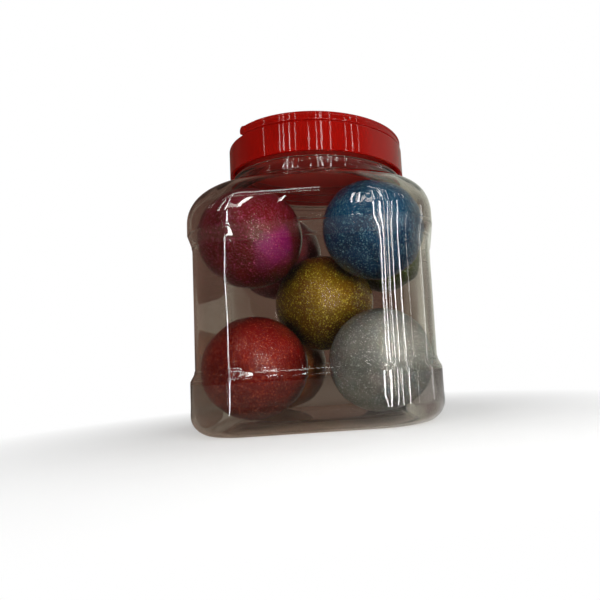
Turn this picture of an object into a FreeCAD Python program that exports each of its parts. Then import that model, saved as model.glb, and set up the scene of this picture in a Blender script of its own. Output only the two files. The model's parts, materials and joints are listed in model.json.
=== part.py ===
import FreeCAD, Part
import math
import os
import Sketcher

# A clear blow-moulded jar with a screw lid, a folding handle and nine glitter bouncy balls.
# Origin: middle of the base, on the surface the jar stands on. +Z up, -Y towards the viewer.

Vector = FreeCAD.Vector
doc = FreeCAD.newDocument("BallJar")


# ---------------------------------------------------------------- driving dimensions (mm, degrees)

drivingSizes = {
    "ballDiameter": 60.0,         # each bouncy ball
    "ballGap": 0.3,               # free space round each ball where it nearly touches
    "columnGap": 12.9,            # extra space between the left and the right column of balls
    "rowGap": 0.6,                # extra space between the front and the back row
    "sideRoom": 0.9,              # extra space between the balls and the left and right walls
    "middleForward": 1.9,         # the middle ball lies this far in front of the jar's middle
    "wall": 0.9,                  # the jar's blown wall
    "cornerRound": 28.5,          # upright corners at the recessed panel, outside
    "panelDepth": 2.6,            # how far the panel lies inside the bands
    "heelRound": 12.5,            # base edge, outside
    "lowerBand": 30.7,            # height of the band under the panel
    "lowerStep": 5.0,             # height of the slope from the lower band in to the panel
    "upperStep": 7.6,             # height of the slope from the panel out to the upper band
    "upperBand": 6.2,             # straight part of the band above the panel
    "shoulderRise": 24.9,         # height of the domed shoulder
    "rootSide": 0.8,              # the shoulder's top stands out this far from the neck, left and right
    "rootCorner": 2.6,            # the corners of the shoulder's top are this much tighter than the neck
    "headSpace": 1.3,             # from the top of the balls to the top of the shoulder
    "baseRecess": 4.8,            # height of the push-up in the base
    "footWidth": 16.4,            # from the band's outside to the inner edge of the standing ring
    "recessSlope": 7.0,           # how far the push-up's sides lean in
    "recessRound": 14.0,          # push-up corners at the top
    "neckRadius": 51.3,           # neck outside, between the threads
    "neckWall": 1.6,
    "neckHeight": 25.1,           # from the shoulder to the neck's sealing rim
    "collarStep": 2.0,            # the collar under the bead stands out this far from the neck
    "collarRoot": 4.6,            # the collar starts this far below the top of the shoulder
    "beadStep": 2.5,              # the bead stands out this far from the neck
    "beadHeight": 2.8,
    "beadBelowLid": 2.3,          # gap from the bead up to the lid's skirt
    "lipRound": 0.6,              # edges of the neck's rim and of the bead
    "threadSpace": 2.1,           # from the neck to the inside of the lid's skirt
    "skirtWall": 1.7,
    "skirtHeight": 17.5,
    "lidTop": 1.6,                # thickness of the lid's step and raised top
    "lidRaise": 4.9,              # how far the lid's raised top stands above the step
    "lidRound": 1.2,              # rounded edges of the lid
    "faceGap": 0.1,               # between the liner and what it lies against
    "linerThickness": 1.2,
    "linerSideGap": 0.5,
    "handleInset": 0.5,           # the handle lies this far inside the skirt's outside
    "handleWidth": 7.0,
    "handleHeight": 5.2,
    "handleLift": 0.3,            # the folded handle's running gap above the step
    "handleSideGap": 0.7,         # between the handle and the lid's raised top
    "handleRound": 0.9,
    "gripGroove": 0.5,            # depth of the groove round the handle's outside
    "gripHeight": 1.4,            # height of that groove
    "pivotAngle": 48.0,           # direction of the handle's pivot line, from +X
    "pinRadius": 1.4,
    "pinGap": 0.08,               # running gap of the pin in the handle's eye
    "eyeWall": 1.5,               # handle left outside the blind end of each eye
    "pinEndGap": 0.3,
}

# Heights and radii that follow from the sizes above.
linkedSizes = {
    "ballRadius": "=ballDiameter / 2",
    "pitch": "=ballDiameter + ballGap",
    "ballX": "=(pitch + columnGap) / 2",
    "ballY": "=(pitch + rowGap) / 2",
    "layerRise": "=sqrt(pitch^2 - ballX^2 - (ballY - middleForward)^2)",
    "lowBallZ": "=baseRecess + wall + ballGap + ballRadius",
    "midBallZ": "=lowBallZ + layerRise",
    "highBallZ": "=midBallZ + layerRise",
    "panelX": "=ballX + ballRadius + ballGap + sideRoom + wall",
    "panelY": "=ballY + ballRadius + ballGap + wall",
    "shoulderTop": "=highBallZ + ballRadius + headSpace",
    "shoulderFoot": "=shoulderTop - shoulderRise",
    "upperBandFoot": "=shoulderFoot - upperBand",
    "panelTop": "=upperBandFoot - upperStep",
    "panelFoot": "=lowerBand + lowerStep",
    "bandX": "=panelX + panelDepth",
    "bandY": "=panelY + panelDepth",
    "bandRound": "=cornerRound + panelDepth",
    "rootX": "=neckRadius + rootSide",
    "rootRound": "=neckRadius - rootCorner",
    "boreRadius": "=neckRadius - neckWall",
    "neckTop": "=shoulderTop + neckHeight",
    "linerFoot": "=neckTop + faceGap",
    "stepUnderside": "=linerFoot + linerThickness + faceGap",
    "stepTop": "=stepUnderside + lidTop",
    "skirtFoot": "=stepTop - skirtHeight",
    "skirtInner": "=neckRadius + threadSpace",
    "skirtOuter": "=skirtInner + skirtWall",
    "beadTop": "=skirtFoot - beadBelowLid",
    "handleOuter": "=skirtOuter - handleInset",
    "handleInner": "=handleOuter - handleWidth",
    "handleFoot": "=stepTop + handleLift",
    "pivotZ": "=handleFoot + handleHeight / 2",
    "raisedRadius": "=handleInner - handleSideGap",
    "raisedTop": "=stepTop + lidRaise",
    "linerRadius": "=skirtInner - linerSideGap",
}


def makeSizeSheet():
    sheet = doc.addObject("Spreadsheet::Sheet", "Sizes")
    rows = list(drivingSizes.items()) + list(linkedSizes.items())
    for row, (alias, value) in enumerate(rows, start=1):
        sheet.set("A%d" % row, alias)
        sheet.set("B%d" % row, str(value))
        sheet.setAlias("B%d" % row, alias)
    doc.recompute()
    return sheet


sizes = makeSizeSheet()


def size(alias):
    return float(sizes.get(alias))


# ---------------------------------------------------------------- small helpers

def bind(thing, **formulas):
    """Bind properties of a document object to formulas on the sheet's aliases."""
    for prop, formula in formulas.items():
        thing.setExpression(prop.replace("__", "."), formula)


def originPlane(body, role):
    return next(item for item in body.Origin.OriginFeatures if item.Role == role)


def newSketch(body, name, role, level=None):
    """A sketch on one of the body's origin planes, raised to a level given as a formula."""
    sketch = body.newObject("Sketcher::SketchObject", name)
    sketch.AttachmentSupport = (originPlane(body, role), [""])
    sketch.MapMode = "FlatFace"
    if level is not None:
        sketch.setExpression("AttachmentOffset.Base.z", level)
    return sketch


def roundedRectangle(body, name, halfX, halfY, corner, level):
    """A horizontal rounded rectangle round the Z axis; every size is a formula."""
    sketch = newSketch(body, name, "XY_Plane", level)
    startX, startY, startR = 60.0, 55.0, 20.0    # a rough outline, before the formulas size it
    signs = [(1, 1), (-1, 1), (-1, -1), (1, -1)]
    corners = []
    for quarter, (sx, sy) in enumerate(signs):
        middle = Vector(sx * (startX - startR), sy * (startY - startR), 0)
        circle = Part.Circle(middle, Vector(0, 0, 1), startR)
        turn = quarter * math.pi / 2
        corners.append(sketch.addGeometry(Part.ArcOfCircle(circle, turn, turn + math.pi / 2), False))
    sides = []
    for quarter in range(4):
        here = sketch.getPoint(corners[quarter], 2)
        there = sketch.getPoint(corners[(quarter + 1) % 4], 1)
        sides.append(sketch.addGeometry(Part.LineSegment(here, there), False))
    for quarter in range(4):
        following = corners[(quarter + 1) % 4]
        sketch.addConstraint(Sketcher.Constraint("Tangent", corners[quarter], 2, sides[quarter], 1))
        sketch.addConstraint(Sketcher.Constraint("Tangent", sides[quarter], 2, following, 1))
    sketch.addConstraint(Sketcher.Constraint("Horizontal", sides[0]))
    sketch.addConstraint(Sketcher.Constraint("Vertical", sides[1]))
    sketch.addConstraint(Sketcher.Constraint("Horizontal", sides[2]))
    sketch.addConstraint(Sketcher.Constraint("Vertical", sides[3]))
    for quarter in range(1, 4):
        sketch.addConstraint(Sketcher.Constraint("Equal", corners[0], corners[quarter]))
    sketch.addConstraint(Sketcher.Constraint("Symmetric", corners[0], 3, corners[2], 3, -1, 1))
    named = [
        ("corner", Sketcher.Constraint("Radius", corners[0], startR), corner),
        ("reachX", Sketcher.Constraint("DistanceX", -1, 1, corners[0], 3, startX - startR),
         "(%s) - (%s)" % (halfX, corner)),
        ("reachY", Sketcher.Constraint("DistanceY", -1, 1, corners[0], 3, startY - startR),
         "(%s) - (%s)" % (halfY, corner)),
    ]
    for label, constraint, formula in named:
        index = sketch.addConstraint(constraint)
        sketch.renameConstraint(index, label)
        sketch.setExpression("Constraints." + label, formula)
    return sketch


def closedProfile(body, name, points, role="XZ_Plane"):
    """A closed outline of straight runs; each point is a pair of formulas (across, up)."""
    sketch = newSketch(body, name, role)
    places = [Vector(sheetValue(across), sheetValue(up), 0) for across, up in points]
    lines = []
    for index, here in enumerate(places):
        there = places[(index + 1) % len(places)]
        lines.append(sketch.addGeometry(Part.LineSegment(here, there), False))
    for index, line in enumerate(lines):
        following = lines[(index + 1) % len(lines)]
        sketch.addConstraint(Sketcher.Constraint("Coincident", line, 2, following, 1))
    for index, (across, up) in enumerate(points):
        for kind, formula, word in (("DistanceX", across, "x"), ("DistanceY", up, "y")):
            value = sheetValue(formula)
            spot = sketch.addConstraint(Sketcher.Constraint(kind, -1, 1, lines[index], 1, value))
            label = "%s%d" % (word, index)
            sketch.renameConstraint(spot, label)
            sketch.setExpression("Constraints." + label, formula)
    return sketch


def sheetValue(formula):
    """The present value of a formula, worked out by the document itself."""
    probe = doc.getObject("Probe") or doc.addObject("App::FeaturePython", "Probe")
    if not hasattr(probe, "Value"):
        probe.addProperty("App::PropertyFloat", "Value")
    probe.setExpression("Value", formula)
    probe.recompute()
    return probe.Value


def linked(formula):
    """Put the sheet's name before each of its aliases in a formula."""
    names = sorted(list(drivingSizes) + list(linkedSizes), key=len, reverse=True)
    words = []
    token = ""
    for sign in formula + " ":
        if sign.isalnum() or sign == "_":
            token += sign
            continue
        words.append("Sizes." + token if token in names else token)
        words.append(sign)
        token = ""
    return "".join(words).strip()


def loftThrough(body, kind, sections, name, ruled):
    loft = body.newObject(kind, name)
    loft.Profile = sections[0]
    loft.Sections = sections[1:]
    loft.Ruled = ruled
    doc.recompute()
    return loft


def revolve(body, sketch, name, kind="PartDesign::Revolution"):
    turned = body.newObject(kind, name)
    turned.Profile = sketch
    turned.ReferenceAxis = (sketch, ["V_Axis"])
    turned.Angle = 360.0
    doc.recompute()
    return turned


def edgesWhere(shape, wanted):
    return ["Edge%d" % (index + 1) for index, edge in enumerate(shape.Edges) if wanted(edge)]


def isLevel(edge, height):
    box = edge.BoundBox
    return abs(box.ZMin - height) < 1e-4 and abs(box.ZMax - height) < 1e-4


def roundEdges(body, base, name, wanted, radius):
    rounding = body.newObject("PartDesign::Fillet", name)
    rounding.Base = (base, edgesWhere(base.Shape, wanted))
    rounding.setExpression("Radius", radius)
    doc.recompute()
    return rounding


# ---------------------------------------------------------------- the jar

shoulderSteps = 6


def blownForm(name, inset):
    """The jar's closed body up to the top of the shoulder, drawn in on all sides by inset."""
    body = doc.addObject("PartDesign::Body", name)

    def section(label, halfX, halfY, corner, level):
        halfX, halfY, corner = [linked("%s - (%s)" % (reach, inset)) for reach in (halfX, halfY, corner)]
        return roundedRectangle(body, name + label, halfX, halfY, corner, linked(level))

    band = ("bandX", "bandY", "bandRound")
    panel = ("panelX", "panelY", "cornerRound")
    sides = [
        section("Foot", *band, inset),
        section("LowerBandTop", *band, "lowerBand"),
        section("PanelFoot", *panel, "panelFoot"),
        section("PanelTop", *panel, "panelTop"),
        section("UpperBandFoot", *band, "upperBandFoot"),
        section("ShoulderFoot", *band, "shoulderFoot"),
    ]
    loftThrough(body, "PartDesign::AdditiveLoft", sides, name + "Sides", True)

    # The shoulder rises along a quarter of an ellipse while its outline turns from the band's
    # rounded rectangle into nearly the neck's circle.
    root = ("rootX", "neckRadius", "rootRound")
    dome = []
    for step in range(shoulderSteps):
        turn = 90.0 * step / (shoulderSteps - 1)
        outline = ["%s + (%s - %s) * (1 - cos(%g deg))" % (here, there, here, turn)
                   for here, there in zip(band, root)]
        level = "shoulderFoot + (shoulderRise - (%s)) * sin(%g deg)" % (inset, turn)
        dome.append(section("Dome%d" % step, *outline, level))
    shoulder = loftThrough(body, "PartDesign::AdditiveLoft", dome, name + "Shoulder", False)

    roundEdges(body, shoulder, name + "Heel",
               lambda edge: isLevel(edge, sheetValue(linked(inset))),
               linked("heelRound - (%s)" % inset))
    pushUp(body, name, inset)
    return body


def pushUp(body, name, inset):
    """The recess in the base: its sides lean in as they rise, so the balls lie on a flat floor."""
    foot = "- footWidth + (%s)" % inset
    roof = "- footWidth - recessSlope + (%s)" % inset
    sections = []
    for label, reach, corner, level in (
            ("RecessFoot", foot, "recessRound + recessSlope + (%s)" % inset, inset),
            ("RecessRoof", roof, "recessRound + (%s)" % inset, "baseRecess + (%s)" % inset)):
        sections.append(roundedRectangle(body, name + label, linked("bandX " + reach),
                                         linked("bandY " + reach), linked(corner), linked(level)))
    loftThrough(body, "PartDesign::SubtractiveLoft", sections, name + "PushUp", True)


def makeJar():
    outside = blownForm("JarOutside", "0")
    neckOutline = [
        ("0", "shoulderFoot"), ("boreRadius", "shoulderFoot"),
        ("neckRadius + collarStep", "shoulderTop - collarRoot"),
        ("neckRadius + collarStep", "beadTop - beadHeight"),
        ("neckRadius + beadStep", "beadTop - beadHeight + lipRound"),
        ("neckRadius + beadStep", "beadTop - lipRound"),
        ("neckRadius + beadStep - lipRound", "beadTop"),
        ("neckRadius", "beadTop"), ("neckRadius", "neckTop - lipRound"),
        ("neckRadius - lipRound", "neckTop"), ("0", "neckTop"),
    ]
    points = [(linked(across), linked(up)) for across, up in neckOutline]
    revolve(outside, closedProfile(outside, "NeckOutline", points), "Neck")

    inside = blownForm("JarInside", "wall")
    bore = [(linked(across), linked(up)) for across, up in (
        ("0", "shoulderFoot"), ("boreRadius", "shoulderFoot"),
        ("boreRadius", "neckTop + neckWall"), ("0", "neckTop + neckWall"))]
    revolve(inside, closedProfile(inside, "BoreOutline", bore), "Bore")

    jar = doc.addObject("Part::Cut", "Jar")
    jar.Base = outside
    jar.Tool = inside
    jar.Label = "jar"
    return jar


# ---------------------------------------------------------------- the lid, its liner and its handle

def makeLid():
    shell = doc.addObject("PartDesign::Body", "LidShell")
    outline = [
        ("skirtInner", "skirtFoot"), ("skirtOuter", "skirtFoot"), ("skirtOuter", "stepTop"),
        ("raisedRadius", "stepTop"), ("raisedRadius", "raisedTop"), ("0", "raisedTop"),
        ("0", "raisedTop - lidTop"), ("raisedRadius - lidTop", "raisedTop - lidTop"),
        ("raisedRadius - lidTop", "stepUnderside"), ("skirtInner", "stepUnderside"),
    ]
    points = [(linked(across), linked(up)) for across, up in outline]
    turned = revolve(shell, closedProfile(shell, "LidOutline", points), "LidTurned")

    def outerEdge(edge):
        onStep = isLevel(edge, size("stepTop")) and edge.BoundBox.XMax > size("skirtInner")
        return onStep or isLevel(edge, size("raisedTop"))

    roundEdges(shell, turned, "LidRounded", outerEdge, "Sizes.lidRound")

    parts = [shell]
    for side in (0, 1):
        pin = doc.addObject("Part::Cylinder", "HandlePin%d" % side)
        bind(pin, Radius="Sizes.pinRadius",
             Height=linked("handleOuter - eyeWall - pinEndGap - raisedRadius + lidTop"))
        placeOnPivot(pin, side, "raisedRadius - lidTop")
        parts.append(pin)
    lid = doc.addObject("Part::MultiFuse", "Lid")
    lid.Shapes = parts
    lid.Label = "lid"
    return lid


def placeOnPivot(cylinder, side, start):
    """Lay a cylinder on the handle's pivot line, pointing out from the given radius."""
    angle = math.radians(size("pivotAngle")) + side * math.pi
    outward = Vector(math.cos(angle), math.sin(angle), 0)
    turn = FreeCAD.Rotation(Vector(0, 0, 1), outward)
    middle = outward * sheetValue(linked(start)) + Vector(0, 0, size("pivotZ"))
    cylinder.Placement = FreeCAD.Placement(middle, turn)


def makeLiner():
    liner = doc.addObject("Part::Cylinder", "LidLiner")
    bind(liner, Radius="Sizes.linerRadius", Height="Sizes.linerThickness",
         Placement__Base__z="Sizes.linerFoot")
    liner.Label = "lid_liner"
    return liner


def makeHandle():
    arc = doc.addObject("PartDesign::Body", "HandleArc")
    outline = [
        ("handleInner", "handleFoot"), ("handleOuter", "handleFoot"),
        ("handleOuter", "pivotZ - gripHeight / 2 - gripGroove"),
        ("handleOuter - gripGroove", "pivotZ - gripHeight / 2"),
        ("handleOuter - gripGroove", "pivotZ + gripHeight / 2"),
        ("handleOuter", "pivotZ + gripHeight / 2 + gripGroove"),
        ("handleOuter", "handleFoot + handleHeight"),
        ("handleInner", "handleFoot + handleHeight"),
    ]
    points = [(linked(across), linked(up)) for across, up in outline]
    sketch = closedProfile(arc, "HandleOutline", points)
    turned = arc.newObject("PartDesign::Revolution", "HandleTurned")
    turned.Profile = sketch
    turned.ReferenceAxis = (sketch, ["V_Axis"])
    turned.Angle = 180.0
    doc.recompute()

    def rim(edge):
        onTop = isLevel(edge, sheetValue(linked("handleFoot + handleHeight")))
        onFoot = isLevel(edge, size("handleFoot"))
        return (onTop or onFoot) and isinstance(edge.Curve, Part.Circle)

    roundEdges(arc, turned, "HandleRounded", rim, "Sizes.handleRound")
    # The revolve starts at +X and goes by way of +Y; the arc lies on the other side of the pivot.
    arc.Placement = FreeCAD.Placement(Vector(0, 0, 0), Vector(0, 0, 1), size("pivotAngle") + 180.0)

    ends = []
    holes = []
    for side in (0, 1):
        end = doc.addObject("Part::Cylinder", "HandleEnd%d" % side)
        bind(end, Radius="Sizes.handleHeight / 2", Height="Sizes.handleWidth")
        placeOnPivot(end, side, "handleInner")
        ends.append(end)
        hole = doc.addObject("Part::Cylinder", "HandleEye%d" % side)
        bind(hole, Radius="Sizes.pinRadius + Sizes.pinGap",
             Height=linked("handleWidth - eyeWall + handleSideGap"))
        placeOnPivot(hole, side, "handleInner - handleSideGap")
        holes.append(hole)
    solid = doc.addObject("Part::MultiFuse", "HandleSolid")
    solid.Shapes = [arc] + ends
    eyes = doc.addObject("Part::MultiFuse", "HandleEyes")
    eyes.Shapes = holes
    handle = doc.addObject("Part::Cut", "Handle")
    handle.Base = solid
    handle.Tool = eyes
    handle.Label = "carry_handle"
    return handle


# ---------------------------------------------------------------- the balls

# Each ball's column (left -1, right 1), row (front -1, back 1) and layer.
ballPlaces = {
    "ball_magenta": (-1, -1, "highBallZ"),
    "ball_blue": (1, -1, "highBallZ"),
    "ball_red": (-1, -1, "lowBallZ"),
    "ball_silver": (1, -1, "lowBallZ"),
    "ball_pink": (-1, 1, "highBallZ"),
    "ball_green": (1, 1, "highBallZ"),
    "ball_orange": (-1, 1, "lowBallZ"),
    "ball_dark_green": (1, 1, "lowBallZ"),
    "ball_gold": (0, 0, "midBallZ"),
}


def makeBall(label, column, row, layer):
    ball = doc.addObject("Part::Sphere", label.title().replace("_", ""))
    bind(ball, Radius="Sizes.ballRadius")
    across = "Sizes.ballX * %d" % column
    back = "Sizes.ballY * %d" % row if row else "-Sizes.middleForward"
    bind(ball, Placement__Base__x=across, Placement__Base__y=back,
         Placement__Base__z="Sizes." + layer)
    ball.Label = label
    return ball


# ---------------------------------------------------------------- build, check and write

subParts = [makeJar(), makeLid(), makeLiner(), makeHandle()]
for label, (column, row, layer) in ballPlaces.items():
    subParts.append(makeBall(label, column, row, layer))

doc.removeObject("Probe")
doc.recompute()

for item in doc.Objects:
    if "Invalid" in item.State or "Error" in item.State:
        raise RuntimeError("failed object: %s %s" % (item.Name, item.State))
for part in subParts:
    if part.Shape.isNull() or not part.Shape.isValid():
        raise RuntimeError("bad shape: " + part.Label)

os.makedirs("parts", exist_ok=True)
for part in subParts:
    box = part.Shape.BoundBox
    part.Shape.exportStep(os.path.join("parts", part.Label + ".step"))
    print("%-16s solids %d volume %9.1f  x %.2f..%.2f  y %.2f..%.2f  z %.2f..%.2f" % (
        part.Label, len(part.Shape.Solids), part.Shape.Volume, box.XMin, box.XMax,
        box.YMin, box.YMax, box.ZMin, box.ZMax))
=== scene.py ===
import bisect
import json
import math

import bmesh
import bpy
from mathutils import Matrix, Vector, noise


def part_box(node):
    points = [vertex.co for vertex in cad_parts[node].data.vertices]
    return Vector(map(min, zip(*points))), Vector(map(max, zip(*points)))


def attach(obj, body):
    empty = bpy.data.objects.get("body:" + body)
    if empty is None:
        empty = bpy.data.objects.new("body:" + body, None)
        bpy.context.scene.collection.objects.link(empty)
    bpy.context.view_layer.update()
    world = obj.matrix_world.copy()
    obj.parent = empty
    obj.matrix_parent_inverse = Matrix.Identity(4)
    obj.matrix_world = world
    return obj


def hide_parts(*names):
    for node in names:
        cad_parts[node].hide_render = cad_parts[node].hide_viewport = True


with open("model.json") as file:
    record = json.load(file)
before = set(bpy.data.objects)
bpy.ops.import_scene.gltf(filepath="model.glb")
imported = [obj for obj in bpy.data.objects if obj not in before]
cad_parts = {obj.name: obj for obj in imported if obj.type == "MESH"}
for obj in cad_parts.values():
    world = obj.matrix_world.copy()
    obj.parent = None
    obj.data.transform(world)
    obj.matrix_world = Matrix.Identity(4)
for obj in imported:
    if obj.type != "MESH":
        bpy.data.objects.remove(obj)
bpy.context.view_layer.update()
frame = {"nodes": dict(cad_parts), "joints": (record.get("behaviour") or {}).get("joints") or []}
print("frame loaded")

mm = 0.001


def linear(hexCode):                            # sRGB hex to the linear colour that Blender's sockets take
    parts = [int(hexCode[i:i + 2], 16) / 255 for i in (1, 3, 5)]
    return [c / 12.92 if c <= 0.04045 else ((c + 0.055) / 1.055) ** 2.4 for c in parts] + [1.0]


def named(sockets, label):                      # a socket by identifier or name
    return ([s for s in sockets if s.identifier == label] or [s for s in sockets if s.name == label])[0]


def add(tree, kind, links=None, stops=(), **settings):      # one node with its settings, links and ramp
    node = tree.nodes.new(kind)
    for key, value in settings.items():
        setattr(node, key, value)
    for label, value in (links or {}).items():
        if isinstance(value, bpy.types.NodeSocket):
            tree.links.new(value, named(node.inputs, label))
        else:
            named(node.inputs, label).default_value = value
    if stops:                                   # a colour ramp's two stops, as (position, hex or grey)
        for element, (position, colour) in zip(node.color_ramp.elements, stops):
            element.position = position
            element.color = linear(colour) if isinstance(colour, str) else (colour, colour, colour, 1)
    return node


def out(node, label):                           # an output by identifier or name
    return named(node.outputs, label)


def startMaterial(name):
    material = bpy.data.materials.new(name)
    material.use_nodes = True
    material.node_tree.nodes.clear()
    return material, material.node_tree


def objectPoints(tree, centre=(0, 0, 0), scale=(1, 1, 1)):    # Object coordinates, centred on a piece
    coordinates = add(tree, "ShaderNodeTexCoord")
    shift = [-c * s for c, s in zip(centre, scale)]
    mapping = add(tree, "ShaderNodeMapping", {"Vector": out(coordinates, "Object"), "Location": shift,
                                              "Scale": scale})
    return out(mapping, "Vector")


def gridMesh(name, rows):                       # rows of points round the axis; a row of one point is a pole
    mesh = bpy.data.meshes.new(name)
    points, faces, starts = [], [], []
    width = len(rows[1])
    for row in rows:
        starts.append(len(points))
        points.extend([[c * mm for c in point] for point in row])
    for k, (a, b) in enumerate(zip(starts, starts[1:])):
        for i in range(width):
            j = (i + 1) % width
            if len(rows[k]) == 1:
                faces.append((a, b + j, b + i))
            elif len(rows[k + 1]) == 1:
                faces.append((a + i, a + j, b))
            else:
                faces.append((a + i, a + j, b + j, b + i))
    mesh.from_pydata(points, [], faces)
    mesh.validate()
    return mesh


def pieceFrom(mesh, material, body, replaced=(), smooth=True):
    tool = bmesh.new()
    tool.from_mesh(mesh)
    bmesh.ops.recalc_face_normals(tool, faces=tool.faces)
    tool.to_mesh(mesh)
    tool.free()
    mesh.materials.clear()
    mesh.materials.append(material)
    for face in mesh.polygons:
        face.use_smooth = smooth
    piece = bpy.data.objects.new(mesh.name, mesh)
    bpy.context.scene.collection.objects.link(piece)
    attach(piece, body)
    if replaced:
        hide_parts(*replaced)
    return piece


# The camera stands where the photograph's perspective puts it, low in front of the jar.
camera = {
    "place": (0.0602, -0.3458, 0.0350),
    "turn": (-6.255, -3.833, -0.924),           # tilt, roll and pan in degrees
    "focalPixels": 545.0,
    "axisPixel": (410.0, 300.0),                # where the lens axis meets the 600 x 600 picture
}

cameraData = bpy.data.cameras.new("camera")
cameraObject = bpy.data.objects.new("camera", cameraData)
bpy.context.scene.collection.objects.link(cameraObject)
tilt, roll, pan = [math.radians(a) for a in camera["turn"]]
worldToView = Matrix.Rotation(roll, 3, "Y") @ Matrix.Rotation(tilt, 3, "X") @ Matrix.Rotation(pan, 3, "Z")
viewTurn = worldToView.transposed() @ Matrix.Rotation(math.pi / 2, 3, "X")
cameraObject.matrix_world = Matrix.Translation(camera["place"]) @ viewTurn.to_4x4()
cameraData.sensor_width = 36.0
cameraData.lens = camera["focalPixels"] / 600 * 36
cameraData.shift_x = (300 - camera["axisPixel"][0]) / 600
cameraData.shift_y = (camera["axisPixel"][1] - 300) / 600
cameraData.clip_start = 0.01
bpy.context.scene.camera = cameraObject
print("camera set")


# The jar: one blown wall. Its level rings are rounded rectangles, nearly round at the neck. The frame gives
# how far the bands reach and how high the rim is, in mm, and the upper levels are set down from the rim.
bandX, bandY, rimHeight = [round(c / mm, 2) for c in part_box("jar")[1]]

jar = {
    "columns": 320,
    "columnCrowding": 0.07,                     # radians that columns move towards the upright corners
    "panelCorner": 28.5,
    "panelDepth": 2.6,                          # how far the panel lies inside the bands
    "heelRound": 12.5,                          # how far back from the heel's corner its round starts
    "roofRound": 2.0, "recessRound": 1.3,       # the same for the base's other corners and for the steps
    "lowerBandRound": 1.5, "panelFootRound": 1.9, "panelTopRound": 2.3, "upperBandRound": 1.6,
    "lowerBand": 30.7, "panelFoot": 35.7, "panelTop": rimHeight - 63.8, "upperBandFoot": rimHeight - 56.2,
    "shoulderFoot": rimHeight - 50, "shoulderRise": 24.9,
    "root": (52.1, 51.3, 48.7),                 # the shoulder's outline where it meets the neck
    "rootRound": 2.2,
    "baseRecess": 4.8,
    "recessFoot": (54.9, 47.85, 21.0), "recessRoof": (47.9, 40.85, 14.0),
    "collarRadius": 53.3, "collarTop": rimHeight - 19.6,
    "beadRadius": 53.8, "beadTop": rimHeight - 16.8,
    "neckRadius": 51.3, "boreRadius": 49.7, "neckTop": rimHeight,
    "threadPitch": 6.0, "threadHeight": 1.15, "threadWidth": 1.5, "threadTurns": 1.6,
    "threadFoot": rimHeight - 13.08,
    "threadRunOut": 5,                          # the thread's ends fade over a turn divided by this
    "rimRound": 0.6,
    "wall": 0.9,
    "slowRipple": 0.15, "fluteRipple": 0.24,    # how far the blown wall wanders in from the mould
    "slowWaves": (2.4, 0.022),                  # how fast it does, round the jar and for each mm of height
    "fluteWaves": (10, 0.03),
    "rippleFoot": (9, 17), "rippleHead": (130, 142),    # heights between which it sets in and dies out
    "sinkDepth": 0.34, "sinkWidth": 5.0,        # the wall sinks a little where a corner starts
    "sinkPast": 1.0,
    "edgeBead": 0.16, "edgeBeadWidth": 0.45,    # the fine bead that the mould leaves along each step's edge
}
jar["panel"] = (bandX - jar["panelDepth"], bandY - jar["panelDepth"], jar["panelCorner"])


def rectangleReach(turn, halfX, halfY, corner):     # distance from the axis to a rounded rectangle
    c, s = abs(math.cos(turn)), abs(math.sin(turn))
    if c > 1e-9 and halfX / c * s <= halfY - corner:
        return halfX / c
    if s > 1e-9 and halfY / s * c <= halfX - corner:
        return halfY / s
    mx, my = halfX - corner, halfY - corner
    along = c * mx + s * my
    return along + math.sqrt(max(0.0, along * along - mx * mx - my * my + corner * corner))


def bandOutline(standOut, inset):                   # the outline that lies standOut outside the panel
    return [size + standOut - inset for size in jar["panel"]]


def softenedPath(corners, samples):                 # corners as (vector, round, steps on the next run)
    path = []
    last = len(corners) - 1
    for k, (here, cut, steps) in enumerate(corners):
        if 0 < k < last and cut > 0:
            before, after = here - corners[k - 1][0], corners[k + 1][0] - here
            before = before / math.hypot(before[0], before[3])
            after = after / math.hypot(after[0], after[3])
            for n in range(samples + 1):
                a = math.pi / 2 * n / samples
                path.append(here - before * (cut * (1 - math.sin(a))) + after * (cut * (1 - math.cos(a))))
        else:
            path.append(here.copy())
        if k < last:
            start, stop = path[-1], corners[k + 1][0]
            if k + 1 < last:
                run = stop - here
                stop = stop - run / math.hypot(run[0], run[3]) * corners[k + 1][1]
            for n in range(1, steps):
                path.append(start + (stop - start) * (n / steps))
    return path


def jarRings(inset):                                # rings below the shoulder, as half x, half y, corner, z
    def box(standOut, height):
        return Vector(bandOutline(standOut, inset) + [height])

    roof = Vector([size + inset for size in jar["recessRoof"]] + [jar["baseRecess"] + inset])
    foot = Vector([size + inset for size in jar["recessFoot"]] + [inset])
    deep = jar["panelDepth"]
    corners = [
        (roof - Vector((5.0, 5.0, 5.0, 0)), 0, 2),      # the push-up's flat roof
        (roof, jar["roofRound"], 2),
        (foot, jar["recessRound"], 2),
        (box(deep, inset), jar["heelRound"] - inset, 14),
        (box(deep, jar["lowerBand"]), jar["lowerBandRound"], 4),
        (box(0, jar["panelFoot"]), jar["panelFootRound"], 48),
        (box(0, jar["panelTop"]), jar["panelTopRound"], 4),
        (box(deep, jar["upperBandFoot"]), jar["upperBandRound"], 4),
        (box(deep, jar["shoulderFoot"]), 0, 1),
    ]
    return softenedPath(corners, 12)


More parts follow.
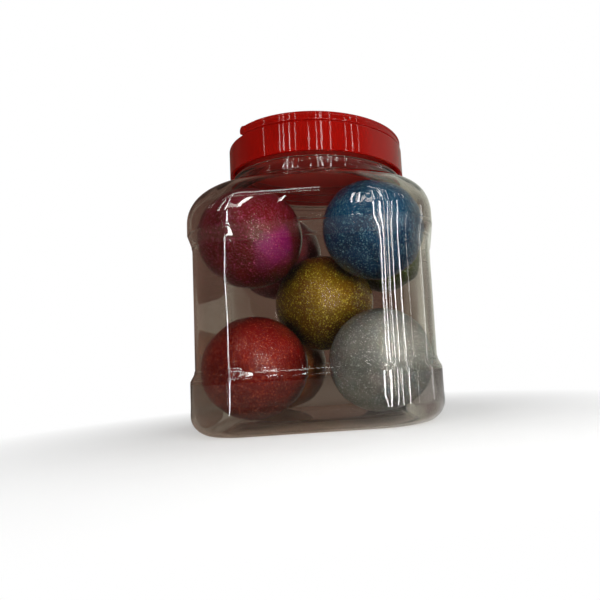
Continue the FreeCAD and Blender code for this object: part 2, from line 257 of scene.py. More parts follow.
def shoulderPath(turn, inset, neckRadius):          # one column of the shoulder, up to the neck's foot
    band = bandOutline(jar["panelDepth"], inset)
    root = [size - inset for size in jar["root"]]
    rise = jar["shoulderRise"] - inset
    path = []
    for n in range(61):
        a = math.pi / 2 * n / 60
        outline = [b + (r - b) * (1 - math.cos(a)) for b, r in zip(band, root)]
        reach = rectangleReach(turn, *outline)
        height = jar["shoulderFoot"] + rise * math.sin(a)
        if reach <= neckRadius:
            lastReach, lastHeight = path[-1]
            part = (lastReach - neckRadius) / (lastReach - reach)
            path.append((neckRadius, lastHeight + (height - lastHeight) * part))
            break
        path.append((reach, height))
    if path[-1][0] > neckRadius:
        path.append((neckRadius, path[-1][1]))
    lengths = [0.0]
    for (r0, z0), (r1, z1) in zip(path, path[1:]):
        lengths.append(lengths[-1] + math.hypot(r1 - r0, z1 - z0))

    def at(distance):
        k = min(max(bisect.bisect_right(lengths, distance) - 1, 0), len(path) - 2)
        part = (distance - lengths[k]) / max(lengths[k + 1] - lengths[k], 1e-9)
        return [path[k][i] + (path[k + 1][i] - path[k][i]) * part for i in (0, 1)]

    cut = jar["rootRound"]                          # the soft root between the shoulder and the neck
    result = [at((lengths[-1] - cut) * n / 36) for n in range(1, 37)]
    (r0, z0), (r1, z1) = result[-1], path[-1]
    for n in range(1, 9):
        t = n / 8
        result.append([(1 - t) ** 2 * r0 + (2 * t - t * t) * r1,
                       (1 - t) ** 2 * z0 + 2 * t * (1 - t) * z1 + t * t * (z1 + cut)])
    return result


def rippleAt(turn, height):                         # the blown wall's wander, most at the upright corners
    c, s = math.cos(turn), math.sin(turn)
    halfX, halfY, corner = jar["panel"]
    start = abs(c / max(abs(s), 1e-6)) * halfY - (halfX - corner) - jar["sinkPast"]
    sunk = jar["sinkDepth"] * math.exp(-(start / jar["sinkWidth"]) ** 2)
    cornerness = math.sin(2 * turn) ** 2
    around, up = jar["slowWaves"]
    slow = 0.5 + 0.5 * noise.noise(Vector((c * around, s * around, height * up)))
    around, up = jar["fluteWaves"]
    flute = 0.5 + 0.5 * noise.noise(Vector((c * around, s * around, height * up + 7)))
    right = 0.5 + 0.5 * math.cos(turn + math.pi / 4)    # the right front corner is the waviest
    fluted = jar["fluteRipple"] * flute * (0.15 + 0.85 * cornerness) * (0.4 + 0.6 * right)
    beads = sum(math.exp(-((height - jar[edge]) / jar["edgeBeadWidth"]) ** 2)
                for edge in ("lowerBand", "panelFoot", "panelTop", "upperBandFoot"))
    return jar["slowRipple"] * slow + fluted + sunk + jar["edgeBead"] * (1 - beads)


def threadAt(turn, height):                         # a right-handed thread on the neck
    climb = (height - jar["threadFoot"]) / jar["threadPitch"]
    lap = turn / (2 * math.pi)
    along = round(climb - lap) + lap
    across = (climb - along) * jar["threadPitch"]
    runOut = jar["threadRunOut"]
    ends = min(1.0, max(0.0, along * runOut)) * min(1.0, max(0.0, (jar["threadTurns"] - along) * runOut))
    return jar["threadHeight"] * ends * max(0.0, 1 - (abs(across) / jar["threadWidth"]) ** 2.5)


def neckLevels():                                   # the neck's profile, over the rim and into the bore
    collar, bead, neck, bore = [jar[k] for k in ("collarRadius", "beadRadius", "neckRadius", "boreRadius")]
    foot, top, rim, soft = [jar[k] for k in ("collarTop", "beadTop", "neckTop", "rimRound")]
    levels = [(collar, foot - 0.9), (collar - 0.15, foot - 0.45)]
    for n in range(9):                              # the bead is half round
        a = math.pi * n / 8
        levels.append((collar - 0.2 + (bead - collar + 0.2) * math.sin(a), foot + (top - foot) * n / 8))
    levels.extend([(neck + 0.5, top), (neck + 0.1, top + 0.15), (neck, top + 0.5)])
    for n in range(1, 49):
        levels.append((neck, top + 0.5 + (rim - soft - top - 0.5) * n / 48))
    for n in range(1, 6):
        a = math.pi / 2 * n / 5
        levels.append((neck - soft * (1 - math.cos(a)), rim - soft + soft * math.sin(a)))
    levels.extend([(bore + 0.3, rim), (bore + 0.08, rim - 0.08)])
    for n in range(9):
        levels.append((bore, rim - 0.3 - (rim - jar["beadTop"]) * n / 8))
    return levels


def jarMesh():                                      # up the outer face to the rim, down the inner one
    setIn, fullFrom = jar["rippleFoot"]
    fullTo, diedOut = jar["rippleHead"]
    even = [2 * math.pi * i / jar["columns"] for i in range(jar["columns"])]
    turns = [t + jar["columnCrowding"] * math.sin(4 * t) for t in even]

    def ringAt(turn, reach, height):
        return (math.cos(turn) * reach, math.sin(turn) * reach, height)

    def side(inset, neckRadius):                    # one face of the wall, from the base to the neck
        made = [[(0, 0, jar["baseRecess"] + inset)]]
        rings = jarRings(inset)
        first = rings[0]
        for part in (0.12, 0.3, 0.5, 0.7, 0.86):
            made.append([ringAt(t, part * rectangleReach(t, *first[:3]), first[3]) for t in turns])
        for ring in rings:
            fade = 0 if inset else max(0.0, min(1.0, (ring[3] - setIn) / (fullFrom - setIn)))
            made.append([ringAt(t, rectangleReach(t, *ring[:3]) - fade * rippleAt(t, ring[3]), ring[3])
                         for t in turns])
        columns = [shoulderPath(t, inset, neckRadius) for t in turns]
        for k in range(len(columns[0])):
            line = []
            for t, column in zip(turns, columns):
                reach, height = column[k]
                fade = 0 if inset else max(0.0, min(1.0, (diedOut - height) / (diedOut - fullTo)))
                line.append(ringAt(t, reach - fade * rippleAt(t, height), height))
            made.append(line)
        return made

    rows = side(0.0, jar["collarRadius"])
    for radius, height in neckLevels():
        threaded = radius == jar["neckRadius"]
        rows.append([ringAt(t, radius + (threadAt(t % (2 * math.pi), height) if threaded else 0), height)
                     for t in turns])
    rows.extend(reversed(side(jar["wall"], jar["boreRadius"])))
    return gridMesh("jarWall", rows)


plastic = {
    "tint": "#DEDAD5", "shadowTint": "#F4F2EF",
    "waveSize": 18.18, "waveHeight": 0.4,       # mm
    "gloss": 0.008,                             # roughness
}

clearPet, tree = startMaterial("blownClearPet")     # PET, stretch-blown: clear, bright, faintly wavy
wander = add(tree, "ShaderNodeTexNoise", {"Vector": objectPoints(tree), "Scale": 1000 / plastic["waveSize"],
                                          "Detail": 2.0})
wanderBump = add(tree, "ShaderNodeBump", {"Height": out(wander, "Fac"), "Strength": 0.15,
                                          "Distance": plastic["waveHeight"] * mm})
shader = add(tree, "ShaderNodeBsdfPrincipled", {
    "Base Color": linear(plastic["tint"]), "Roughness": plastic["gloss"], "IOR": 1.5,
    "Transmission Weight": 1.0, "Normal": out(wanderBump, "Normal")})
unbent = add(tree, "ShaderNodeBsdfTransparent", {"Color": linear(plastic["shadowTint"])})
rays = add(tree, "ShaderNodeLightPath")
lit = add(tree, "ShaderNodeMath", {
    "Value": out(rays, "Is Shadow Ray"), "Value_001": out(rays, "Is Diffuse Ray")},
    operation="MAXIMUM")                            # so that light gets in without caustics
clear = add(tree, "ShaderNodeMixShader", {"Fac": out(lit, "Value"), "Shader": out(shader, "BSDF"),
                                          "Shader_001": out(unbent, "BSDF")})
add(tree, "ShaderNodeOutputMaterial", {"Surface": out(clear, "Shader")})

jarPiece = pieceFrom(jarMesh(), clearPet, "jar", ["jar"])
print("jar made", len(jarPiece.data.polygons))


# The lid and its handle: red polypropylene, injection-moulded, glossy with a faintly dimpled skin. The
# light shines through it a little, as it does through a thin wall. The wad in the lid is red foam.
lid = {
    "colour": "#9C1009", "dark": "#8C0C06", "glow": "#E81C0E",
    "glowShare": 0.45,                          # how much of the light comes through the thin wall
    "gloss": 0.045,                             # roughness
    "cloudSize": 25,                            # mm across one cloud of slightly other colour
    "peelSize": 2.2, "peelHeight": 0.2,         # mm, the moulded skin's dimples
    "foam": "#E0281C", "foamDark": "#C82016",
    "cellSize": 0.7, "cellDepth": 0.2,          # mm, the foam's cells
}

redLid, tree = startMaterial("mouldedRedPolypropylene")
points = objectPoints(tree)
cloud = add(tree, "ShaderNodeTexNoise", {"Vector": points, "Scale": 1000 / lid["cloudSize"], "Detail": 3.0})
tone = add(tree, "ShaderNodeValToRGB", {"Fac": out(cloud, "Fac")},
           [(0.35, lid["dark"]), (0.7, lid["colour"])])
peel = add(tree, "ShaderNodeTexNoise", {"Vector": points, "Scale": 1000 / lid["peelSize"], "Detail": 1.0})
peelBump = add(tree, "ShaderNodeBump", {"Height": out(peel, "Fac"), "Strength": 0.1,
                                        "Distance": lid["peelHeight"] * mm})
shader = add(tree, "ShaderNodeBsdfPrincipled", {
    "Base Color": out(tone, "Color"), "Roughness": lid["gloss"], "IOR": 1.49,
    "Normal": out(peelBump, "Normal")})
through = add(tree, "ShaderNodeBsdfTranslucent", {"Color": linear(lid["glow"])})
thinWall = add(tree, "ShaderNodeMixShader", {"Fac": lid["glowShare"], "Shader": out(shader, "BSDF"),
                                             "Shader_001": out(through, "BSDF")})
add(tree, "ShaderNodeOutputMaterial", {"Surface": out(thinWall, "Shader")})

redFoam, tree = startMaterial("dyedPolyethyleneFoam")       # closed-cell foam wad: matt, with fine cells
cells = add(tree, "ShaderNodeTexVoronoi", {"Vector": objectPoints(tree), "Scale": 1000 / lid["cellSize"]})
tone = add(tree, "ShaderNodeValToRGB", {"Fac": out(cells, "Distance")},
           [(0.0, lid["foamDark"]), (0.6, lid["foam"])])
foamBump = add(tree, "ShaderNodeBump", {"Height": out(cells, "Distance"), "Strength": 0.5,
                                        "Distance": lid["cellDepth"] * mm})
shader = add(tree, "ShaderNodeBsdfPrincipled", {"Base Color": out(tone, "Color"), "Roughness": 0.6,
                                                "Normal": out(foamBump, "Normal")})
add(tree, "ShaderNodeOutputMaterial", {"Surface": out(shader, "BSDF")})

for node, material in (("lid", redLid), ("carry_handle", redLid), ("lid_liner", redFoam)):
    for place in frame["nodes"][node].material_slots:
        place.material = material
print("lid dressed")


# The balls: cast clear rubber over a coloured core, with glitter held in the clear skin.
ballSizes = {
    "radius": 30.0,
    "core": 29.78,                              # the coloured body under the clear skin
    "flakeRadius": 0.33, "flakeThickness": 0.04,
    "flakeDepth": (0.08, 0.14),                 # how far below the skin the flakes lie
    "flakeTilt": 0.30,                          # radians
    "flakeScale": (0.6, 1.2),                   # least and most times the flake's radius
    "seam": 0.03, "seamWidth": 0.45,            # the moulded ball's parting line, height and half width
    "swirlSize": 22.22,                         # mm across one cloud in the tinted body
    "patchReach": 26.3,                         # mm, how far the patch of stronger colour reaches
    "speckSize": 0.5556,                        # mm, coarser than the real dust, so that it shows
    "toneSize": 1.111,                          # mm from one flake to the next that can have another tone
    "scuffSize": 1.667,                         # mm across one dull spot on the skin
}

balls = {
    "ball_magenta": {"colour": "#801822", "deep": "#681018", "patch": "#A4187A",
                     "patchTowards": (0.74, -0.60, -0.42), "flake": "#F0609C", "flakes": 1200, "seed": 3},
    "ball_blue": {"colour": "#17537C", "deep": "#0A3B60", "patch": "#105E8C",
                  "patchTowards": (-0.5, -0.8, 0.2), "flake": "#A4E8FF", "flakes": 1000, "seed": 5},
    "ball_gold": {"colour": "#8C6A08", "deep": "#745204", "patch": "#96740C",
                  "patchTowards": (0.3, -0.9, 0.1), "flake": "#FFE648", "flakes": 4200, "seed": 7},
    "ball_red": {"colour": "#901712", "deep": "#78100C", "patch": "#8C0C08",
                 "patchTowards": (0.1, -0.8, -0.4), "flake": "#FF7048", "flakes": 1300, "seed": 11},
    "ball_silver": {"colour": "#A0A4A0", "deep": "#888C88", "patch": "#A4AAA6",
                    "patchTowards": (0.3, -0.9, 0.2), "flake": "#FFFFFF", "flakes": 1800, "seed": 13},
    "ball_pink": {"colour": "#9C4C54", "deep": "#863A42", "patch": "#A85660",
                  "patchTowards": (0.5, -0.8, 0.1), "flake": "#F08C9C", "flakes": 900, "seed": 17},
    "ball_green": {"colour": "#64743C", "deep": "#50602C", "patch": "#748048",
                   "patchTowards": (0.3, -0.9, -0.2), "flake": "#D4E0B4", "flakes": 900, "seed": 19},
    "ball_orange": {"colour": "#D8844C", "deep": "#C07038", "patch": "#E09058",
                    "patchTowards": (0.5, 0.8, 0.1), "flake": "#FFC888", "flakes": 900, "seed": 23},
    "ball_dark_green": {"colour": "#2C4A32", "deep": "#183620", "patch": "#3A5C40",
                        "patchTowards": (0.5, 0.8, 0.1), "flake": "#A8D8B0", "flakes": 900, "seed": 29},
}

for joint in frame["joints"]:                   # a ball rolls about its middle, which gives its place in mm
    if joint["child"] in balls:
        balls[joint["child"]]["place"] = [round(c / mm, 3) for c in joint["pos_m"]]


def coreMaterial(name, look):                   # tinted cast rubber: cloudy, with fine glitter in its depth
    material, tree = startMaterial(name)
    centre = [c * mm for c in look["place"]]
    points = objectPoints(tree, centre)
    swirl = add(tree, "ShaderNodeTexNoise", {"Vector": points, "Scale": 1000 / ballSizes["swirlSize"],
                                             "Detail": 3.0, "Distortion": 0.6})
    body = add(tree, "ShaderNodeValToRGB", {"Fac": out(swirl, "Fac")},
               [(0.38, look["deep"]), (0.62, look["colour"])])
    towards = Vector(look["patchTowards"]).normalized() * (ballSizes["radius"] * mm)
    patchCentre = [c + t for c, t in zip(centre, towards)]
    patchPoints = objectPoints(tree, patchCentre, [1000 / ballSizes["patchReach"]] * 3)
    reach = add(tree, "ShaderNodeVectorMath", {"Vector": patchPoints}, operation="LENGTH")
    unevenReach = add(tree, "ShaderNodeMath", {"Value": out(reach, "Value"), "Value_001": out(swirl, "Fac")},
                      operation="ADD")
    patch = add(tree, "ShaderNodeValToRGB", {"Fac": out(unevenReach, "Value")}, [(0.70, 0.75), (1.0, 0.0)])
    patched = add(tree, "ShaderNodeMix", {"Factor_Float": out(patch, "Color"), "A_Color": out(body, "Color"),
                                          "B_Color": linear(look["patch"])}, data_type="RGBA")
    specks = add(tree, "ShaderNodeTexVoronoi", {"Vector": points, "Scale": 1000 / ballSizes["speckSize"]})
    speckShade = add(tree, "ShaderNodeSeparateColor", {"Color": out(specks, "Color")})
    speckMask = add(tree, "ShaderNodeValToRGB", {"Fac": out(speckShade, "Red")}, [(0.80, 0.0), (0.98, 0.45)])
    speckled = add(tree, "ShaderNodeMix", {
        "Factor_Float": out(speckMask, "Color"), "A_Color": out(patched, "Result_Color"),
        "B_Color": linear(look["flake"])}, data_type="RGBA")
    shader = add(tree, "ShaderNodeBsdfPrincipled", {    # a low IOR, because the skin over it gives the gloss
        "Base Color": out(speckled, "Result_Color"), "Roughness": 0.6, "IOR": 1.2,
        "Subsurface Weight": 0.5, "Subsurface Scale": 0.006})
    add(tree, "ShaderNodeOutputMaterial", {"Surface": out(shader, "BSDF")})
    return material


clearSkin, tree = startMaterial("clearCastRubber")      # bare cast rubber: clear, glossy, lightly scuffed
fresnel = add(tree, "ShaderNodeFresnel", {"IOR": 1.45})
through = add(tree, "ShaderNodeBsdfTransparent", {"Color": (1, 1, 1, 1)})
fine = add(tree, "ShaderNodeTexNoise", {"Vector": objectPoints(tree),
                                        "Scale": 1000 / ballSizes["scuffSize"]})
scuff = add(tree, "ShaderNodeValToRGB", {"Fac": out(fine, "Fac")}, [(0.4, 0.12), (0.7, 0.20)])
gloss = add(tree, "ShaderNodeBsdfGlossy", {"Roughness": out(scuff, "Color")})
skinShader = add(tree, "ShaderNodeMixShader", {"Fac": out(fresnel, "Fac"), "Shader": out(through, "BSDF"),
                                               "Shader_001": out(gloss, "BSDF")})
add(tree, "ShaderNodeOutputMaterial", {"Surface": out(skinShader, "Shader")})


def flakeMaterial(name, look):                  # vacuum-metallised polyester film: glints of many tones
    material, tree = startMaterial(name)
    points = objectPoints(tree, [c * mm for c in look["place"]])
    cells = add(tree, "ShaderNodeTexVoronoi", {"Vector": points, "Scale": 1000 / ballSizes["toneSize"]})
    shade = add(tree, "ShaderNodeSeparateColor", {"Color": out(cells, "Color")})
    tone = add(tree, "ShaderNodeValToRGB", {"Fac": out(shade, "Green")},
               [(0.3, look["colour"]), (0.75, look["flake"])])
    shader = add(tree, "ShaderNodeBsdfPrincipled", {"Base Color": out(tone, "Color"), "Metallic": 0.55,
                                                    "Roughness": 0.28})
    add(tree, "ShaderNodeOutputMaterial", {"Surface": out(shader, "BSDF")})
    return material


def glitterTree():                              # flakes scattered on a sphere, sunk and tilted at random
    tree = bpy.data.node_groups.new("glitterScatter", "GeometryNodeTree")
    face = tree.interface
    face.new_socket(name="Geometry", in_out="INPUT", socket_type="NodeSocketGeometry")
    for label, kind in (("Flakes per square metre", "NodeSocketFloat"), ("Flake radius", "NodeSocketFloat"),
                        ("Flake thickness", "NodeSocketFloat"), ("Shallowest", "NodeSocketFloat"),
                        ("Deepest", "NodeSocketFloat"), ("Tilt", "NodeSocketFloat"),
                        ("Smallest scale", "NodeSocketFloat"), ("Largest scale", "NodeSocketFloat"),
                        ("Seed", "NodeSocketInt"), ("Material", "NodeSocketMaterial")):
        face.new_socket(name=label, in_out="INPUT", socket_type=kind)
    face.new_socket(name="Geometry", in_out="OUTPUT", socket_type="NodeSocketGeometry")
    given = tree.nodes.new("NodeGroupInput").outputs
    scatter = add(tree, "GeometryNodeDistributePointsOnFaces", {
        "Mesh": given["Geometry"], "Density": given["Flakes per square metre"], "Seed": given["Seed"]})
    flake = add(tree, "GeometryNodeMeshCylinder", {
        "Vertices": 6, "Radius": given["Flake radius"], "Depth": given["Flake thickness"]})
    depth = add(tree, "FunctionNodeRandomValue", {
        "Min_001": given["Shallowest"], "Max_001": given["Deepest"], "Seed": given["Seed"]},
        data_type="FLOAT")
    inward = add(tree, "ShaderNodeMath", {"Value": out(depth, "Value_001"), "Value_001": -1.0},
                 operation="MULTIPLY")
    sink = add(tree, "ShaderNodeVectorMath", {"Vector": out(scatter, "Normal"),
                                              "Scale": out(inward, "Value")}, operation="SCALE")
    sunk = add(tree, "GeometryNodeSetPosition", {"Geometry": out(scatter, "Points"),
                                                 "Offset": out(sink, "Vector")})
    minus = add(tree, "ShaderNodeMath", {"Value": given["Tilt"], "Value_001": -1.0}, operation="MULTIPLY")
    low = add(tree, "ShaderNodeCombineXYZ", {"X": out(minus, "Value"), "Y": out(minus, "Value")})
    high = add(tree, "ShaderNodeCombineXYZ", {"X": given["Tilt"], "Y": given["Tilt"], "Z": 3.14})
    lean = add(tree, "FunctionNodeRandomValue", {"Min": out(low, "Vector"), "Max": out(high, "Vector"),
                                                 "Seed": given["Seed"]}, data_type="FLOAT_VECTOR")
    turned = add(tree, "FunctionNodeRotateRotation", {
        "Rotation": out(scatter, "Rotation"), "Rotate By": out(lean, "Value")}, rotation_space="LOCAL")
    size = add(tree, "FunctionNodeRandomValue", {
        "Min_001": given["Smallest scale"], "Max_001": given["Largest scale"], "Seed": given["Seed"]},
        data_type="FLOAT")
    placed = add(tree, "GeometryNodeInstanceOnPoints", {
        "Points": out(sunk, "Geometry"), "Instance": out(flake, "Mesh"),
        "Rotation": out(turned, "Rotation"), "Scale": out(size, "Value_001")})
    real = add(tree, "GeometryNodeRealizeInstances", {"Geometry": out(placed, "Instances")})
    dressed = add(tree, "GeometryNodeSetMaterial", {"Geometry": out(real, "Geometry"),
                                                    "Material": given["Material"]})
    add(tree, "NodeGroupOutput", {"Geometry": out(dressed, "Geometry")})
    return tree


def sphereMesh(name, place, radius, seam=0.0):  # a moulded ball with a fine parting seam round it
    stacks, slices = 96, 128
    cx, cy, cz = place
    rows = []
    for k in range(stacks + 1):
        lift = math.pi * k / stacks - math.pi / 2
        r = radius - seam + seam * math.exp(-((lift * radius) / ballSizes["seamWidth"]) ** 2)
        if k in (0, stacks):
            rows.append([(cx, cy, cz + r * math.sin(lift))])
            continue
        rows.append([(cx + r * math.cos(lift) * math.cos(2 * math.pi * i / slices),
                      cy + r * math.cos(lift) * math.sin(2 * math.pi * i / slices),
                      cz + r * math.sin(lift)) for i in range(slices)])
    return gridMesh(name, rows)


glitter = glitterTree()
socketOf = {item.name: item.identifier for item in glitter.interface.items_tree if item.in_out == "INPUT"}

for name, look in balls.items():
    titled = "".join(word.title() for word in name.split("_")[1:])
    core = coreMaterial("castRubber" + titled, look)
    film = flakeMaterial("glitterFilm" + titled, look)
    pieceFrom(sphereMesh("core" + titled, look["place"], ballSizes["core"]), core, name, ())
    skin = sphereMesh("skin" + titled, look["place"], ballSizes["radius"], ballSizes["seam"])
    pieceFrom(skin, clearSkin, name, [name])
    carrier = bpy.data.objects.new("carrier", sphereMesh("carrier", look["place"], ballSizes["radius"]))
    bpy.context.scene.collection.objects.link(carrier)
    modifier = carrier.modifiers.new("glitter", "NODES")
    modifier.node_group = glitter
    area = 4 * math.pi * (ballSizes["radius"] * mm) ** 2
    for label, value in (("Flakes per square metre", look["flakes"] / area),
                         ("Flake radius", ballSizes["flakeRadius"] * mm),
                         ("Flake thickness", ballSizes["flakeThickness"] * mm),
                         ("Shallowest", ballSizes["flakeDepth"][0] * mm),
                         ("Deepest", ballSizes["flakeDepth"][1] * mm), ("Tilt", ballSizes["flakeTilt"]),
                         ("Smallest scale", ballSizes["flakeScale"][0]),
                         ("Largest scale", ballSizes["flakeScale"][1]),
                         ("Seed", look["seed"]), ("Material", film)):
        modifier[socketOf[label]] = value
    graph = bpy.context.evaluated_depsgraph_get()
    flakeMesh = bpy.data.meshes.new_from_object(carrier.evaluated_get(graph))
    flakeMesh.name = "glitter" + titled
    carrier.modifiers.remove(modifier)
    bpy.data.objects.remove(carrier)
    pieceFrom(flakeMesh, film, name, (), smooth=False)
    print(name, "made with", len(flakeMesh.polygons) // 8, "flakes")


# The floor and the light: a white floor and backdrop, a dim studio behind the clear plastic and in its
# gloss, with painted shade on the floor there, a soft key lamp for the colours, and thin tubes that draw the
# bright lines on the corners.
studio = {
    "floorColour": "#F2F2F0", "floorShade": "#F0F0EE",
    "floorPaintedShade": "#BCAA9C",                      # painted shade: the floor's darker colour where the plastic shows it
    "dimBack": ("#6A4E46", "#806A5E"),          # the studio as the plastic shows it
    "dimFront": "#453C36",                      # its dark side, in front
    "litSide": "#D8DACE",                       # its lit side, to the right
    "litFromX": (-0.04, 0.05), "litFromY": (-0.5, 0.1),     # where the lit side starts, as a direction
    "frontToBack": (-0.3, 0.2),                 # where the dark front changes to the back's tone
    "floorPaintedShadeEndsX": (-0.01, 0.08),             # m, where the painted shade on the floor that the plastic shows gives way to its own white
    "shadowFade": [(0.10, 0.35), (0.24, 1.0)],  # m from the axis, and how white the floor is there
    "patchSize": 3.5, "grainSize": 33.33,       # the studio's patches, and the floor's grain in mm
    "allRoundLevel": 0.30,                      # light from all round
    "keyPlace": (0.55, -0.75, 0.65), "keySize": 0.5, "keyLevel": 2.8,
    "fillPlace": (-0.7, -0.7, 0.30), "fillSize": 0.6, "fillLevel": 0.7,
    "aimHeight": 0.09, "overheadAim": 0.10,     # m, what the key and fill and the overhead tubes face
    "tubeDistance": 0.30, "tubeLift": 0.001,
    "tubes": [                                  # azimuth from +X (degrees), width, foot, top, brightness
        (-116.6, 0.003, 0.0, 0.20, 30),
        (-80.8, 0.004, 0.0, 0.20, 26), (-77, 0.008, 0.0, 0.20, 24), (-67.5, 0.008, 0.0, 0.20, 24),
        (-58, 0.008, 0.0, 0.20, 24), (-46.5, 0.008, 0.0, 0.20, 24),
        (-30, 0.006, 0.0, 0.16, 5), (4, 0.014, 0.0, 0.20, 4),
        (-144, 0.003, 0.245, 0.300, 12), (-104, 0.0025, 0.245, 0.300, 18),
        (-75, 0.003, 0.240, 0.310, 18), (-46, 0.003, 0.245, 0.300, 18),
        (-38, 0.003, 0.245, 0.300, 20), (-30, 0.003, 0.245, 0.300, 14),
        (-118, 0.0035, 0.20, 0.33, 22), (-123, 0.004, 0.20, 0.33, 14), (-111, 0.004, 0.22, 0.30, 22),
        (-89.4, 0.0022, 0.20, 0.28, 18), (-88.4, 0.0022, 0.20, 0.28, 20), (-80, 0.004, 0.21, 0.32, 16),
        (-74, 0.004, 0.21, 0.32, 20), (-64, 0.004, 0.21, 0.32, 16),
    ],
    "overhead": [                               # middle, length along X, width, brightness
        ((-0.11, -0.28, 0.35), 0.14, 0.006, 12), ((0.10, -0.28, 0.34), 0.12, 0.006, 12),
    ],
}

floorMaterial, tree = startMaterial("whiteBoard")       # painted board: matt white, with a faint grain; what the plastic shows of it has painted shade, darker to the left
floorPoints = objectPoints(tree)
floorRays = add(tree, "ShaderNodeLightPath")
grain = add(tree, "ShaderNodeTexNoise", {"Vector": floorPoints, "Scale": 1000 / studio["grainSize"]})
tone = add(tree, "ShaderNodeValToRGB", {"Fac": out(grain, "Fac")},
           [(0.3, studio["floorShade"]), (0.7, studio["floorColour"])])
matt = add(tree, "ShaderNodeBsdfDiffuse", {"Color": out(tone, "Color")})
glow = add(tree, "ShaderNodeEmission", {"Color": (1, 1, 1, 1), "Strength": 1.0})
far = add(tree, "ShaderNodeVectorMath", {"Vector": floorPoints}, operation="LENGTH")
whiter = add(tree, "ShaderNodeValToRGB", {"Fac": out(far, "Value")}, studio["shadowFade"])
fade = add(tree, "ShaderNodeMath", {
    "Value": out(whiter, "Color"), "Value_001": out(floorRays, "Is Camera Ray")}, operation="MULTIPLY")
bright = add(tree, "ShaderNodeMixShader", {"Fac": out(fade, "Value"), "Shader": out(matt, "BSDF"),
                                           "Shader_001": out(glow, "Emission")})
# painted shade: for glossy and transmission rays the floor is painted darker on the left, going back to its own
# white towards the right
across = add(tree, "ShaderNodeSeparateXYZ", {"Vector": floorPoints})
start, full = studio["floorPaintedShadeEndsX"]
toRight = add(tree, "ShaderNodeMapRange", {"Value": out(across, "X"), "From Min": start, "From Max": full},
              interpolation_type="SMOOTHSTEP")
paintedShadeTone = add(tree, "ShaderNodeMix", {"Factor_Float": out(toRight, "Result"), "B_Color": out(tone, "Color"),
                                      "A_Color": linear(studio["floorPaintedShade"])}, data_type="RGBA")
paintedShadeMatt = add(tree, "ShaderNodeBsdfDiffuse", {"Color": out(paintedShadeTone, "Result_Color")})
inPlastic = add(tree, "ShaderNodeMath", {
    "Value": out(floorRays, "Is Glossy Ray"), "Value_001": out(floorRays, "Is Transmission Ray")},
    operation="MAXIMUM")
board = add(tree, "ShaderNodeMixShader", {"Fac": out(inPlastic, "Value"), "Shader": out(bright, "Shader"),
                                          "Shader_001": out(paintedShadeMatt, "BSDF")})
add(tree, "ShaderNodeOutputMaterial", {"Surface": out(board, "Shader")})
floorMesh = bpy.data.meshes.new("table")
reach, low = 4.0, -0.0001
floorCorners = [(-reach, -reach, low), (reach, -reach, low), (reach, reach, low), (-reach, reach, low)]
floorMesh.from_pydata(floorCorners, [], [(0, 1, 2, 3)])
floorMesh.materials.append(floorMaterial)
floorPiece = bpy.data.objects.new("table", floorMesh)
bpy.context.scene.collection.objects.link(floorPiece)

world = bpy.data.worlds.new("whiteStudio")
bpy.context.scene.world = world
world.use_nodes = True
world.node_tree.nodes.clear()
tree = world.node_tree
towards = add(tree, "ShaderNodeTexCoord")
worldRays = add(tree, "ShaderNodeLightPath")
patches = add(tree, "ShaderNodeTexNoise", {"Vector": out(towards, "Generated"), "Scale": studio["patchSize"],
                                           "Detail": 2.0})
backTone = add(tree, "ShaderNodeValToRGB", {"Fac": out(patches, "Fac")},
               [(0.35, studio["dimBack"][0]), (0.65, studio["dimBack"][1])])
split = add(tree, "ShaderNodeSeparateXYZ", {"Vector": out(towards, "Generated")})
behind, toRight, toBack = [
    add(tree, "ShaderNodeMapRange", {"Value": out(split, side), "From Min": start, "From Max": full},
        interpolation_type="SMOOTHSTEP")
    for side, (start, full) in (("Y", studio["frontToBack"]), ("X", studio["litFromX"]),
                                ("Y", studio["litFromY"]))]
darkTone = add(tree, "ShaderNodeMix", {
    "Factor_Float": out(behind, "Result"), "A_Color": linear(studio["dimFront"]),
    "B_Color": out(backTone, "Color")}, data_type="RGBA")
litSide = add(tree, "ShaderNodeMath", {"Value": out(toRight, "Result"), "Value_001": out(toBack, "Result")},
              operation="MULTIPLY")
studioTone = add(tree, "ShaderNodeMix", {
    "Factor_Float": out(litSide, "Value"), "A_Color": out(darkTone, "Result_Color"),
    "B_Color": linear(studio["litSide"])}, data_type="RGBA")
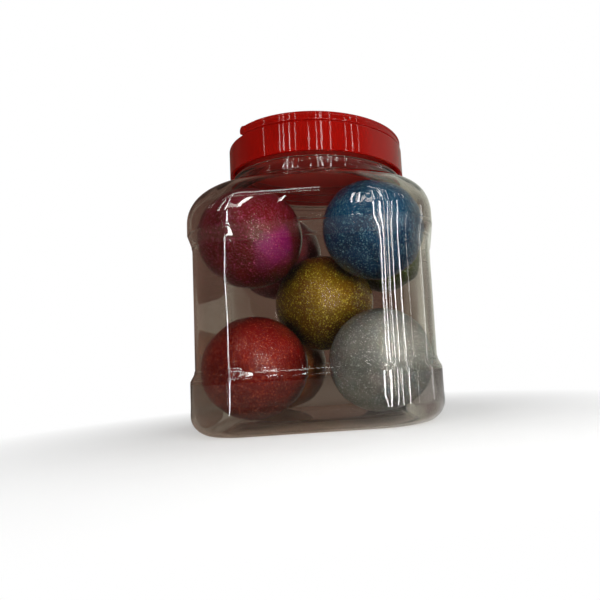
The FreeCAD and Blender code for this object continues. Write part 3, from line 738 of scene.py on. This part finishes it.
allRound = add(tree, "ShaderNodeBackground", {"Color": (1, 1, 1, 1), "Strength": studio["allRoundLevel"]})
seen = add(tree, "ShaderNodeBackground", {"Color": (1, 1, 1, 1), "Strength": 1.0})
shown = add(tree, "ShaderNodeBackground", {"Color": out(studioTone, "Result_Color"), "Strength": 1.0})
inPlastic = add(tree, "ShaderNodeMath", {
    "Value": out(worldRays, "Is Glossy Ray"), "Value_001": out(worldRays, "Is Transmission Ray")},
    operation="MAXIMUM")
light = add(tree, "ShaderNodeMixShader", {"Fac": out(inPlastic, "Value"), "Shader": out(allRound, "Background"),
                                          "Shader_001": out(shown, "Background")})
choice = add(tree, "ShaderNodeMixShader", {
    "Fac": out(worldRays, "Is Camera Ray"), "Shader": out(light, "Shader"),
    "Shader_001": out(seen, "Background")})
add(tree, "ShaderNodeOutputWorld", {"Surface": out(choice, "Shader")})


def addLamp(name, place, target, size, brightness):     # a flat lamp that faces a point; 1 is white
    data = bpy.data.lights.new(name, "AREA")
    data.shape = "RECTANGLE"
    data.size, data.size_y = size
    data.energy = brightness * size[0] * size[1] * math.pi
    lamp = bpy.data.objects.new(name, data)
    bpy.context.scene.collection.objects.link(lamp)
    facing = (Vector(target) - Vector(place)).to_track_quat("-Z", "Y")
    lamp.matrix_world = Matrix.Translation(place) @ facing.to_matrix().to_4x4()
    lamp.visible_camera = False
    return lamp


for name in ("key", "fill"):
    side = studio[name + "Size"]
    aim = (0, 0, studio["aimHeight"])
    lamp = addLamp(name, studio[name + "Place"], aim, (side, side), studio[name + "Level"])
    lamp.visible_glossy = False
    lamp.visible_transmission = False
for azimuth, width, foot, top, brightness in studio["tubes"]:
    turn, middle = math.radians(azimuth), (foot + top) / 2 + studio["tubeLift"]
    place = (math.cos(turn) * studio["tubeDistance"], math.sin(turn) * studio["tubeDistance"], middle)
    addLamp("tube", place, (0, 0, middle), (width, top - foot), brightness)
for place, length, width, brightness in studio["overhead"]:
    addLamp("overhead", place, (place[0], 0, studio["overheadAim"]), (length, width), brightness)

bpy.context.scene.view_settings.view_transform = "Standard"
print("studio set")
